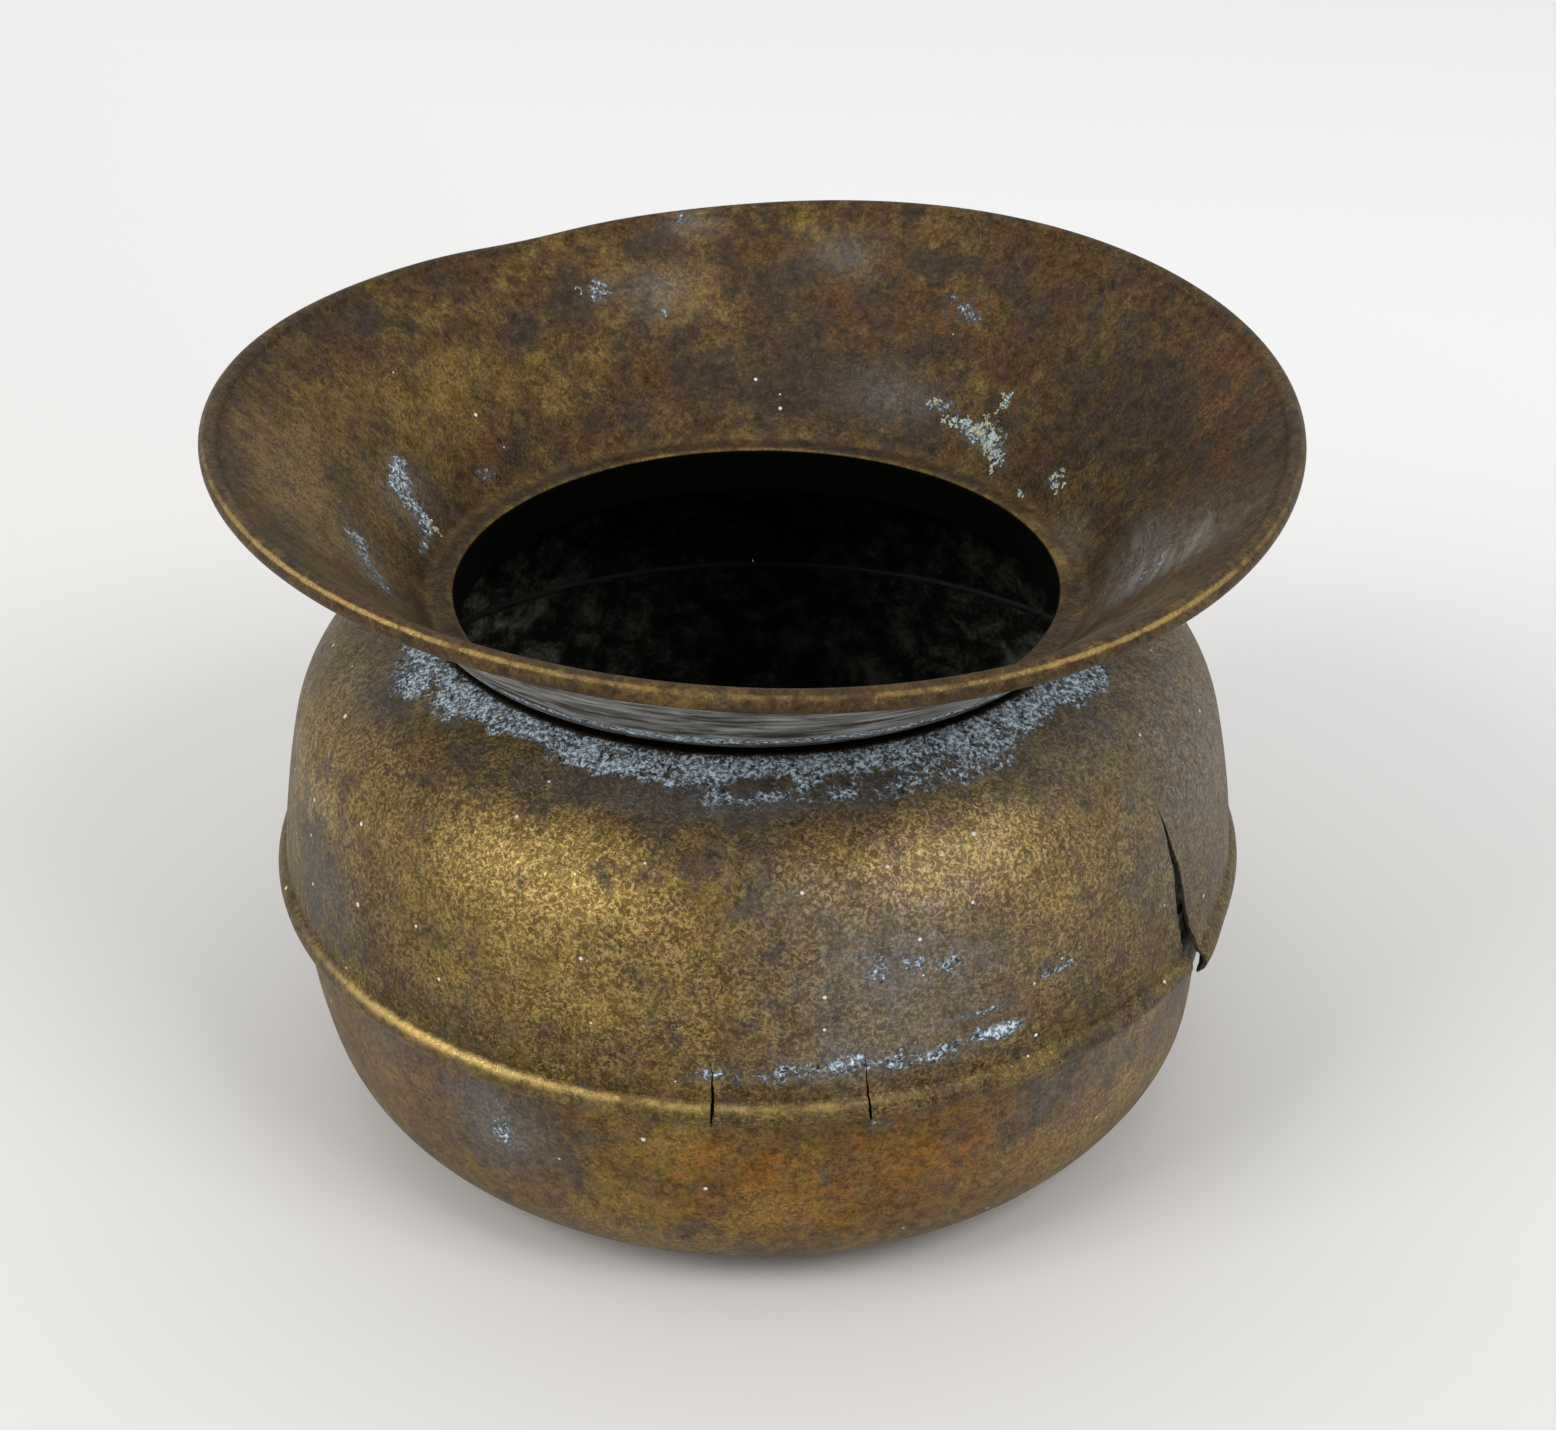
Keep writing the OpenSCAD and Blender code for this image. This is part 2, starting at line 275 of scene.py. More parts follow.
def new_effect(name, inputs, outputs):
    """An empty shader node group with named sockets, with its inputs and its writer."""
    kinds = {"place": "NodeSocketVector", "colour": "NodeSocketColor", "value": "NodeSocketFloat"}
    effect = bpy.data.node_groups.new(name, "ShaderNodeTree")
    for label, kind in inputs.items():
        effect.interface.new_socket(label, in_out="INPUT", socket_type=kinds[kind])
    for label, kind in outputs.items():
        effect.interface.new_socket(label, in_out="OUTPUT", socket_type=kinds[kind])
    n = Nodes(effect)
    given = effect.nodes.new("NodeGroupInput").outputs
    result = effect.nodes.new("NodeGroupOutput").inputs
    return effect, n, given, result


def new_finish(name):
    """A new material, with its writer and the shader's inputs."""
    material = bpy.data.materials.new(name)
    material.use_nodes = True
    return material, Nodes(material.node_tree), material.node_tree.nodes["Principled BSDF"].inputs


# Squiggles: bright worm-like lines, where the patina is rubbed off the grain of the metal
squiggles, n, given, result = new_effect("squiggles", {"Place": "place", "Pitch": "value", "Width": "value"},
                                         {"Mask": "value"})
scale = n.math("DIVIDE", 1.0, given["Pitch"])
field = n.noise(given["Place"], scale, 2.5, 0.6, 0.6)
off_line = n.math("ABSOLUTE", n.math("SUBTRACT", field, 0.5))
worm = n.range(off_line, given["Width"], 0.0)
broken = n.range(n.noise(given["Place"], n.times(scale, 1.5), 2.0, 0.7, 0.0, (0.3, 0.7, 0.1)), 0.34, 0.62)
n.put(result["Mask"], n.times(worm, broken))

# Patches: soft patches of one colour on another that break up into grains. More makes them spread.
patches, n, given, result = new_effect(
    "patches", {"Place": "place", "Seed": "value", "Size": "value", "More": "value"}, {"Mask": "value"})
moved = n.add("ShaderNodeVectorMath", {0: given["Place"], 1: given["Seed"]}, operation="ADD")[0]
cloud = n.noise(moved, n.math("DIVIDE", 1.0, given["Size"]), 6.0, 0.6, 0.4)
grains = n.noise(moved, 750, 4.0, 0.75, 0.5)
n.put(result["Mask"], n.range(n.sum(n.sum(cloud, given["More"], 0.3), grains, 0.45), 0.70, 0.98))

# Dots: round grains of dust or pits, scattered at random
dots, n, given, result = new_effect(
    "dots", {"Place": "place", "Pitch": "value", "Size": "value", "Share": "value"}, {"Mask": "value"})
scale = n.math("DIVIDE", 1.0, given["Pitch"])
cell = n.add("ShaderNodeTexVoronoi", {"Vector": given["Place"], "Scale": scale})
chance = n.add("ShaderNodeSeparateColor", {0: cell["Color"]})
radius = n.times(n.math("DIVIDE", given["Size"], given["Pitch"]), n.range(chance[1], 0.0, 1.0, 0.5, 1.0))
dot = n.range(cell["Distance"], radius, n.times(radius, 0.6))
n.put(result["Mask"], n.times(dot, n.math("LESS_THAN", chance[0], given["Share"])))

# Verdigris: blue-grey salts that lie thick in squiggles, dark between them, and thin out into specks
verdigris, n, given, result = new_effect("verdigris", {"Place": "place", "Amount": "value"},
                                         {"Mask": "value", "Colour": "colour", "Height": "value"})
ragged = n.sum(n.times(n.noise(given["Place"], 420, 5.0, 0.75, 0.5), 1.2),
               n.noise(given["Place"], 110, 3.0, 0.6, 0.3, (0.5, 0.1, 0.2)), 0.9)
lies = n.math("SUBTRACT", n.sum(given["Amount"], ragged), 1.50)
curls = n.use(squiggles, {"Place": given["Place"], "Pitch": 1.15 * MM, "Width": 0.17})["Mask"]
haze = n.range(n.noise(given["Place"], 260, 4.0, 0.65, 0.2, (0.2, 0.6, 0.9)), 0.4, 0.62)
thick = n.times(curls, n.range(lies, -0.05, 0.3, 0.4, 1.0))
thick = n.sum(thick, n.times(haze, n.range(lies, 0.05, 0.5)), 0.3)
grit = n.range(n.noise(given["Place"], 1100, 2.0, 0.6, 0.0, (0.9, 0.2, 0.4)), 0.36, 0.5, 0.3, 1.0)
solid = n.times(n.range(lies, -0.05, 0.14), grit)
film = n.times(n.range(given["Amount"], 0.15, 0.8, 0.0, 0.6), haze)
n.put(result["Mask"], n.math("MAXIMUM", solid, film))
salt = n.mix(thick, (0.007, 0.009, 0.013), (0.72, 0.87, 1.0))
n.put(result["Colour"], n.mix(solid, (0.125, 0.127, 0.128), salt))
n.put(result["Height"], n.times(solid, n.sum(0.4, curls)))

# Salt streaks: grey salts drawn out in lines that run round the object
salt_streaks, n, given, result = new_effect("salt_streaks", {"Place": "place"}, {"Colour": "colour"})
x, y, z = n.add("ShaderNodeSeparateXYZ", {0: given["Place"]})
drawn_out = n.add("ShaderNodeCombineXYZ", {0: n.times(z, 9.0), 1: x, 2: y})[0]
lines = n.range(n.noise(drawn_out, 60, 6.0, 0.7, 0.5), 0.38, 0.66)
n.put(result["Colour"], n.mix(lines, (0.095, 0.080, 0.058), (0.64, 0.66, 0.65)))


def aged_brass(name, seed, brown, olive, gold, purple, red, patch, flecked, pitted, dusty):
    """The finish of one shell: brass gone brown and olive and rubbed back to gold in squiggles, with the
    stains, verdigris and dust of its layers over it. The gold of its bead, rim and shoulder highlights is
    painted highlight as much as wear. Inside and in the gaps under other parts it is painted near-black, as
    shade, with mould spots that also paint the light falling in there."""
    material, n, metal = new_finish(name)
    place = n.add("ShaderNodeTexCoord", {})["Object"]
    has = {kind: n.add("ShaderNodeAttribute", {}, attribute_name=kind)["Fac"] for kind in LAYERS}

    def in_patches(size, number, more):
        inputs = {"Place": place, "Seed": seed + 0.37 * number, "Size": size, "More": more}
        return n.use(patches, inputs)["Mask"]

    curls = n.use(squiggles, {"Place": place, "Pitch": 1.15 * MM, "Width": 0.13})["Mask"]
    grain = n.range(n.noise(place, 1300, 4.0, 0.75, 0.3), 0.36, 0.62)
    mottle = n.range(n.noise(place, 430, 6.0, 0.78, 0.4, (seed, 0, 0)), 0.34, 0.66, 0.5, 1.6)
    darkened = in_patches(patch / 2, 1, has["dark"])
    shadow = tuple(0.45 * part for part in brown)
    colour = n.mix(in_patches(patch, 2, has["olive"]), brown, olive)
    colour = n.mix(n.times(in_patches(patch / 4, 6, 0.12), 0.6), colour, shadow)
    colour = n.mix(n.times(in_patches(patch / 2.5, 3, n.sum(-0.15, has["red"])), 0.75), colour, red)
    colour = n.shade(n.mix(n.times(darkened, 0.85), colour, purple), mottle)
    blots = n.use(dots, {"Place": place, "Pitch": 6.5 * MM, "Size": 2.0 * MM, "Share": 0.5})["Mask"]
    colour = n.mix(n.times(n.times(blots, has["dark"]), 0.8), colour, shadow)
    pits = n.use(dots, {"Place": place, "Pitch": 2.2 * MM, "Size": 0.8 * MM, "Share": pitted})["Mask"]
    colour = n.mix(n.math("MAXIMUM", n.less(0.5, grain), n.times(pits, 0.6)), colour, (0.012, 0.009, 0.007))

    bright = n.sum(flecked, has["gold"])
    in_clusters = in_patches(patch / 1.5, 4, bright)
    # Gold where the patina is rubbed off in squiggles; the gold and worn layers also paint highlights here,
    # on the shoulder's round, the bead and the rim.
    rubbed_and_highlight = n.times(n.times(curls, bright), n.sum(0.45, in_clusters, 0.6))
    rubbed_and_highlight = n.sum(rubbed_and_highlight, n.times(n.sum(0.3, in_clusters, 0.7), has["gold"]), 0.3)
    rubbed_and_highlight = n.less(rubbed_and_highlight, n.times(darkened, 0.75))
    polish_and_highlight = n.times(has["wear_and_highlight"], n.sum(0.2, in_patches(3.5 * MM, 5, has["wear_and_highlight"]), 0.8))
    rubbed_and_highlight = n.math("MINIMUM", n.math("MAXIMUM", rubbed_and_highlight, polish_and_highlight), 1.0)
    colour = n.mix(rubbed_and_highlight, colour, gold)

    film = n.range(n.noise(place, 420, 6.0, 0.75, 0.3, (0.4, seed, 0.1)), 0.36, 0.60, 0.35, 1.0)
    film = n.times(film, has["haze"])
    colour = n.mix(film, colour, n.mix(curls, (0.17, 0.145, 0.125), (0.34, 0.32, 0.29)))
    colour = n.mix(has["streaks"], colour, n.use(salt_streaks, {"Place": place})["Colour"])
    salts = n.use(verdigris, {"Place": place, "Amount": has["verdigris"]})
    colour = n.mix(salts["Mask"], colour, salts["Colour"])
    dust = n.less(n.use(dots, {"Place": place, "Pitch": 5 * MM, "Size": 0.55 * MM, "Share": dusty})["Mask"],
                  has["inside"])
    colour = n.mix(dust, colour, (0.72, 0.71, 0.66))
    # Inside and in the gaps under other parts the brass is painted near-black, as shade; the mould spots over
    # it also paint the light that falls in.
    spots = n.times(n.range(n.noise(place, 130, 8.0, 0.78, 0.3), 0.42, 0.70, 0.08, 1.0), has["mould_and_light"])
    colour = n.mix(has["inside"], colour, n.mix(spots, (0.004, 0.004, 0.003), (0.24, 0.25, 0.20)))
    n.put(metal["Base Color"], colour)

    covered = n.math("MAXIMUM", n.math("MAXIMUM", salts["Mask"], dust), n.times(film, 0.8))
    bare = n.less(n.blend(rubbed_and_highlight, n.blend(darkened, 0.8, 0.6), 1.0), covered)
    n.put(metal["Metallic"], n.blend(has["inside"], bare, n.less(0.95, spots)))
    rough = n.sum(n.blend(rubbed_and_highlight, 0.48, 0.30), n.math("SUBTRACT", grain, 0.5), 0.1)
    n.put(metal["Roughness"], n.blend(has["inside"], n.blend(covered, rough, 0.9), 1.0))
    metal["Specular IOR Level"].default_value = 0.3
    relief = n.sum(n.sum(n.times(curls, 0.5), grain, 0.5), darkened, 0.15)
    relief = n.sum(n.sum(relief, salts["Height"], 1.1), n.math("SUBTRACT", dust, pits), 1.0)
    bump = n.add("ShaderNodeBump", {"Height": relief, "Strength": 0.7, "Distance": 0.2 * MM})
    n.put(metal["Normal"], bump["Normal"])
    return material


def worn_wall(amount, seed):
    """Slow waves in a shell's wall, amount mm high, as the spinning and a century of hands have left them."""
    rng = np.random.default_rng(seed)
    waves = [(rng.integers(2, 9), rng.uniform(0, 2 * math.pi), rng.uniform(0.02, 0.09),
              rng.uniform(0, 2 * math.pi), rng.uniform(0.3, 1.0)) for _ in range(14)]

    def wave(z, a):
        return amount * sum(s * np.sin(k * a + p) * np.sin(f * z + q) for k, p, f, q, s in waves)
    return wave


bowl_depth = (WALL_CURVE_R * math.sin(math.radians(WALL_TURN))
              + HEEL_R * (math.sin(math.radians(WALL_TURN + HEEL_TURN)) - math.sin(math.radians(WALL_TURN)))
              + SOLE_CURVE_R * (1 - math.sin(math.radians(WALL_TURN + HEEL_TURN))))
bowl_path = [(BOWL_R, COLLAR_TOP)]
straight(bowl_path, (BOWL_R, bowl_depth), 1.5)
on_round(bowl_path, WALL_CURVE_R, 0, -WALL_TURN, 1.0)
on_round(bowl_path, HEEL_R, -WALL_TURN, -WALL_TURN - HEEL_TURN, 0.9)
on_round(bowl_path, SOLE_CURVE_R, -WALL_TURN - HEEL_TURN, -90, 1.0)
straight(bowl_path, (0, 0), 2.5)
bowl_wave = worn_wall(0.05, 11)


def bowl_form(r, z, a):
    """The bowl waves a little, but stays true at its flat foot and where the shoulder grips it. The knock
    that split the bead has dented it below the tear."""
    share = np.clip((z - 3) / 10, 0, 1) * np.clip((52 - z) / 12, 0, 1)
    dent = BOWL_DENT * hump(turned_from(BOWL_DENT_DIR, a), 0, math.radians(10)) * hump(z, BOWL_DENT_Z, 8)
    return r + bowl_wave(z, a) * share - dent, z


def mould_and_light_at(mesh):
    """Mould spots inside, thickest on the left and the right and most on the left, where light falls in: they
    also paint that light on walls painted near-black as shade.
    """
    direction = direction_of(mesh)
    return 0.25 + 0.75 * np.cos(np.radians(direction)) ** 2 + 0.6 * hump(direction, 160, 30)


bowl, row, back = spun_shell("spun_bowl", bowl_path, other_face(bowl_path, -BOWL_SHEET), bowl_form)
# The bowl's inside, its collar hidden under the bead and a spot seen through the long tear are painted
# near-black, as shade.
hidden = np.array([z for _, z in bowl_path])[row] > BEAD_COVERS_FROM
outside = 1 - np.maximum(back, hidden)
layer(bowl.data, "inside", [(334, 88, 46, 5, 3.5, 1.0)], 1 - outside)
layer(bowl.data, "mould_and_light", under=mould_and_light_at(bowl.data))
layer(bowl.data, "olive", [
    (222, 86, 28, 20, 16, 0.15), (255, 84, 22, 14, 14, 0.5), (300, 80, 16, 30, 8, 0.6),
    (322, 86, 30, 20, 12, 0.4)], 0.22, outside)
layer(bowl.data, "gold", [
    (272, 86.9, 26, 9, 7, 0.4), (256, 84, 20, 14, 7, 0.4), (262, 88, 42, 12, 5, 0.35),
    (247, 88, 35, 8, 8, 0.2), (310, 86, 26, 24, 8, 0.4), (325, 88, 38, 18, 14, 0.4)], 0.06, outside)
layer(bowl.data, "red", [
    (265.5, 88.1, 35.9, 8, 10, 0.9), (289, 88.1, 36, 12, 8, 0.9), (276, 86, 26, 16, 10, 0.6),
    (232, 88, 42, 6, 6, 0.5), (300, 87, 30, 12, 6, 0.5)], face=outside)
# The last dark stain, under the long tear, is painted shade where the bowl is seen through the gap.
layer(bowl.data, "dark", [
    (239, 88, 36, 11, 12, 1.2), (305, 88.2, 38, 14, 9, 0.6), (252, 87.4, 30, 7, 8, 0.35),
    (222, 88, 44, 10, 6, 0.4), (262, 84, 20, 8, 4, 0.4), (330, 88, 36, 30, 14, 0.25),
    (338, 88, 40, 11, 11, 1.3)], face=outside)
layer(bowl.data, "haze", [
    (239, 88, 36, 9, 10, 0.6), (318, 88, 38, 30, 12, 0.4), (222, 88, 38, 16, 12, 0.25)], face=outside)
layer(bowl.data, "verdigris", [
    (235.5, 88.3, 41, 6, 4, 0.34), (240.4, 87.9, 32, 7, 8, 0.34), (238, 88, 37, 7, 8, 0.2),
    (284, 88.4, 44, 10, 1.6, 0.5), (304, 88.3, 42, 8, 2, 0.45)], face=outside)
bowl.data.materials.append(aged_brass(
    "bowl_brass", 0.2, brown=(0.150, 0.082, 0.028), olive=(0.200, 0.129, 0.033), gold=(0.48, 0.305, 0.080),
    purple=(0.074, 0.056, 0.044), red=(0.26, 0.105, 0.013), patch=15 * MM, flecked=0.25, pitted=0.05,
    dusty=0.2))
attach(bowl, "root")
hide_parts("bowl")


# ---- Shoulder
# The middle shell, spun from 0.7 mm brass. Its foot is rolled into a hollow bead that hides the seam
# with the bowl. The bead has split with age: one long tear up the right side and four short ones.
SHOULDER_SHEET = 0.7
BEAD_R, BEAD_Z, BEAD_TUBE_R, BEAD_LIP, BEAD_CREASE = 89.5, 50, 2.9, -111.6, 66
WALL_LEAN, SHOULDER_WALL_R, ROUND_START, SHOULDER_ROUND_R = 4.4, 169, 13.3, 26.4
ROUND_END, TOP_CURVE_R, NECK_HOLE_R = 62.1, 103.5, 57.15
shoulder_path = [(BEAD_R + BEAD_TUBE_R * math.cos(math.radians(BEAD_LIP)),
                  BEAD_Z + BEAD_TUBE_R * math.sin(math.radians(BEAD_LIP)))]
on_round(shoulder_path, BEAD_TUBE_R, BEAD_LIP, BEAD_CREASE, 0.45)
BEAD_ROWS = len(shoulder_path) - 1
on_round(shoulder_path, SHOULDER_WALL_R, WALL_LEAN, ROUND_START, 0.9)
on_round(shoulder_path, SHOULDER_ROUND_R, ROUND_START, ROUND_END, 0.9)
top_centre_r = shoulder_path[-1][0] - TOP_CURVE_R * math.cos(math.radians(ROUND_END))
neck_turn = math.degrees(math.acos((NECK_HOLE_R - top_centre_r) / TOP_CURVE_R))
on_round(shoulder_path, TOP_CURVE_R, ROUND_END, neck_turn, 0.9)


def tear(path, line, seed):
    """How far up a tear runs, and where its middle and its edges lie at each row. line gives heights, how far
    sideways it has wandered there and its width, from the bead up to its tip. Above the tip the columns
    spread out again over a few rows."""
    rng = np.random.default_rng(seed)
    r, z = np.array(path).T
    heights, sideways, widths = np.array(line).T
    rows = BEAD_ROWS + int(np.argmin(abs(z - heights[-1])[BEAD_ROWS:]))
    centre = np.interp(z, heights, sideways) + rng.normal(0, 0.06, len(z))
    gap = np.interp(z, heights, widths) * (1 + rng.normal(0, 0.05, len(z))) + 0.04
    natural = 2 * math.pi / COLUMNS * r
    beyond = np.arange(len(z)) - rows
    gap = np.where(beyond > 0, natural * np.clip(beyond / 6, 0, 1) + 0.04, gap)
    centre = np.where(beyond > 0, centre[rows] * np.clip(1 - beyond / 12, 0, 1), centre)
    return rows, centre, gap


LONG_TEAR = 326
LONG_TEAR_LINE = [(44, 3.4, 2.0), (50, 3.0, 2.4), (52.7, 2.2, 2.9), (58.5, 1.1, 3.1), (64.3, 0.4, 3.2),
                  (70.4, 0.1, 2.2), (74.8, -1.2, 1.3), (84, -2.9, 0)]
SPRUNG_RIGHT, SPRUNG_LEFT, OPENED = 1.7, 0.1, 0.75
tears = []
for direction, line, seed in (
        (LONG_TEAR, LONG_TEAR_LINE, 1),
        (265, [(44, 0.1, 0.7), (50, 0.15, 0.7), (60.5, -0.1, 0)], 2),
        (281.3, [(44, 0.4, 0.45), (50, 0.2, 0.45), (61, -0.4, 0)], 3),
        (90.6, [(44, 0.1, 0.5), (50, 0, 0.5), (61.5, -0.1, 0)], 4),
        (73, [(44, 0.1, 0.5), (50, 0.1, 0.5), (61, 0.1, 0)], 5)):
    tears.append((direction, *tear(shoulder_path, line, seed)))
shoulder_wave = worn_wall(0.06, 5)


def shoulder_form(r, z, a):
    """Slow waves over the shoulder, and the bead sprung out beside the long tear, most on its right, where
    its lower lip has opened too."""
    share = np.clip((z - 54) / 10, 0, 1) * np.clip((100 - z) / 5, 0, 1)
    heights, sideways, _ = np.array(LONG_TEAR_LINE).T
    off = turned_from(LONG_TEAR, a - np.interp(z, heights, sideways) / BEAD_R)
    sprung = np.where(off > 0, SPRUNG_RIGHT, SPRUNG_LEFT) * hump(off, 0, math.radians(7))
    sprung *= hump(np.maximum(z, BEAD_Z + 2), BEAD_Z + 2, 5)
    opened = np.where((off > 0) & (z < BEAD_Z), OPENED * hump(off, 0, math.radians(5)), 0)
    r = r + opened * np.maximum(0, BEAD_R + 1.6 - r)
    return r + shoulder_wave(z, a) * share + sprung, z


shoulder, row, back = spun_shell("spun_shoulder", shoulder_path, other_face(shoulder_path, SHOULDER_SHEET),
                                 shoulder_form, tears)
row_r, row_z = np.array(shoulder_path).T
bead_turn = np.degrees(np.arctan2(row_z - BEAD_Z, row_r - BEAD_R))
in_bead = row <= BEAD_ROWS
direction = direction_of(shoulder.data)
# Painted highlights on the bead, partly its real wear: a bright crest on its upper side, strongest toward the
# front-left lamp, a thin line at its lip, and a pale line at its foot on the right, toward the front-right
# lamp.
bead_wear_and_highlight = (1.05 * hump(bead_turn, 42, 18) + 0.2 * hump(bead_turn, 0, 40)
              + 0.6 * hump(bead_turn, BEAD_LIP, 12))
bead_wear_and_highlight = bead_wear_and_highlight[row] * (0.1 + 0.8 * hump(direction, 230, 20) + 0.3 * hump(direction, 265, 25))
bead_foot_highlight = 0.8 * hump(bead_turn, -54, 9)[row] * hump(direction, 312, 18)
rng = np.random.default_rng(8)
ring = [(d, 62.7 + rng.normal(0, 0.4), 100.7, 5, rng.uniform(1.8, 3.4),
         rng.uniform(0.55, 0.9) * (0.8 + 0.2 * math.cos(math.radians(d - 265)))) for d in range(0, 360, 4)]
ring += [(d, 66 + rng.normal(0, 1.6), 99.4, 5, rng.uniform(2, 5), rng.uniform(0.0, 0.45))
         for d in range(2, 360, 5)]
outside = 1 - back
# The shoulder's top under the funnel's ledge is painted near-black, as shade, and so is its inside.
shade_under_funnel = np.clip((61.6 - row_r[row]) / 1.2, 0, 1)
layer(shoulder.data, "inside", under=np.maximum(back, shade_under_funnel))
layer(shoulder.data, "mould_and_light", under=mould_and_light_at(shoulder.data) * back)
layer(shoulder.data, "olive", [
    (240, 86, 80, 30, 18, 0.6), (310, 84, 84, 24, 18, 0.6), (200, 86, 82, 24, 16, 0.4)], 0.22, outside)
# The first two gold stains are painted highlights where the lamps shine on the shoulder's round, laid over
# its rubbed gold squiggles.
layer(shoulder.data, "gold", [
    (244, 82.4, 88, 22, 9, 0.6), (293, 80.6, 90, 18, 7, 0.85), (250, 88, 72, 26, 12, 0.25),
    (306, 86, 78, 16, 12, 0.25), (204, 87, 82, 22, 14, 0.3)], face=outside)
layer(shoulder.data, "wear_and_highlight", under=bead_wear_and_highlight + bead_foot_highlight, face=outside * in_bead)
layer(shoulder.data, "red", [
    (236, 77, 94, 22, 5, 0.5), (262, 90, 62, 24, 7, 0.5), (285, 78, 93, 12, 4, 0.4),
    (268, 85, 82, 10, 8, 0.5), (300, 89, 66, 20, 8, 0.5)], face=outside)
layer(shoulder.data, "dark", [
    (256, 70.3, 97.4, 20, 4, 0.9), (272, 69, 98.2, 16, 4, 0.7), (288, 69, 98.2, 12, 3.5, 0.5),
    (228, 73, 96, 14, 4, 0.45), (206, 73, 96, 10, 6, 0.5), (210, 89.4, 64, 10, 8, 0.9),
    (205, 88.9, 70, 7, 8, 0.6), (272, 84, 84, 9, 6, 0.35), (264, 79, 91, 10, 5, 0.35),
    (281, 88.4, 71, 12, 8, 0.3), (238, 90, 60, 8, 5, 0.35), (320, 70, 98, 12, 5, 0.5),
    (330, 88, 76, 20, 14, 0.2), (312, 92, 50, 16, 4, 0.6), (222, 90, 58, 14, 4, 0.35)], face=outside)
# The haze at 340 degrees, along the shoulder's right edge, is a painted sheen: the pale grey reflection seen
# there.
layer(shoulder.data, "haze", [
    (284, 86, 79, 14, 10, 0.4), (288, 88, 70, 24, 12, 0.45), (280, 90, 60, 16, 5, 0.4),
    (293, 81, 89, 14, 8, 0.3), (274, 82, 88, 6, 5, 0.3), (208, 89, 66, 12, 10, 0.35),
    (340, 86, 82, 32, 24, 0.8), (262, 70, 97.5, 30, 4, 0.4), (200, 74, 95, 14, 7, 0.3),
    (312, 72, 97, 20, 7, 0.35)], face=outside)
layer(shoulder.data, "verdigris", ring + [
    (265, 90.2, 57.6, 8, 2.4, 0.52), (273, 90.2, 58.0, 8, 2.6, 0.54), (281, 90.1, 58.8, 8, 3.0, 0.57),
    (289, 90.2, 58.4, 8, 2.6, 0.54), (297, 90.1, 58.6, 7, 2.4, 0.46), (296, 90, 60, 8, 1.6, 0.5),
    (280, 88.3, 70.7, 14, 9, 0.27), (291, 87.5, 74.7, 10, 6, 0.28), (294, 89.4, 63.8, 10, 1.2, 0.6),
    (303, 89, 66.8, 9, 1.2, 0.6), (210, 89.4, 64, 7, 7, 0.4), (331, 69, 98.5, 4, 3, 0.5),
    (334, 67, 99.4, 3, 2, 0.4), (272, 84, 84, 7, 6, 0.25), (264, 86, 80, 6, 5, 0.2),
    (284, 86, 79, 10, 7, 0.22), (268, 69.5, 97.6, 16, 3.5, 0.45), (290, 69.5, 97.6, 14, 5, 0.4),
    (305, 70, 98, 14, 6, 0.35), (202, 68, 98.8, 9, 5, 0.3), (212, 68, 98.8, 9, 4, 0.3),
    (250, 66, 99.4, 20, 3, 0.15)], face=outside * (1 - shade_under_funnel))
shoulder.data.materials.append(aged_brass(
    "shoulder_brass", 0.7, brown=(0.094, 0.058, 0.020), olive=(0.148, 0.103, 0.025),
    gold=(0.62, 0.435, 0.158), purple=(0.060, 0.047, 0.040), red=(0.150, 0.080, 0.024), patch=12 * MM,
    flecked=0.38, pitted=0.05, dusty=0.45))
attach(shoulder, "root")
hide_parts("shoulder")


# ---- Funnel
# The upper shell, spun from 0.7 mm brass. A collar goes down through the shoulder's hole, a flat ledge
# sits on the shoulder, and the edge is curled over a wire. A knock has bent it forward and dented it.
FUNNEL_SHEET, SEAM_GAP = 0.7, 0.02
THROAT_R, COLLAR_DROP, LIP_R, LEDGE_W, LEDGE_FILLET_R = 55.6, 9, 1.5, 3.6, 3
RIM_R, RIM_Z, FLARE_TURN, CURL_R, CURL_CREASE, CURL_WRAP = 95.4, 137, 13, 1.75, 38, 310
BEND_GROWTH, LEAN_RISE, RIM_PUSH, RIM_OVAL, RIM_OVAL_DIR = 1.3, 3.7, 0.9, 0.4, 49
RIM_LOBES = ((2, 2.0, 32), (3, 0.34, 57), (4, 0.33, 71))
RIM_DENT, RIM_DENT_DIR, RIM_DENT_SPREAD = 0.9, 120, 9
FILLET_STEPS = 6
LEDGE_Z = shoulder_path[-1][1] + SEAM_GAP + FUNNEL_SHEET
LEDGE_END = THROAT_R + LEDGE_W
mean_slope = math.atan2(RIM_Z - LEDGE_Z - CURL_R / 3, RIM_R - LEDGE_END - CURL_R - LEDGE_FILLET_R / 2)
foot_slope, rim_slope = (math.degrees(mean_slope) + FLARE_TURN / 2, math.degrees(mean_slope) - FLARE_TURN / 2)
funnel_path = [(THROAT_R, LEDGE_Z - COLLAR_DROP)]
straight(funnel_path, (THROAT_R, LEDGE_Z - LIP_R), 1.2)
on_round(funnel_path, LIP_R, 180, 90, 0.3)
straight(funnel_path, (LEDGE_END, LEDGE_Z), 0.8)
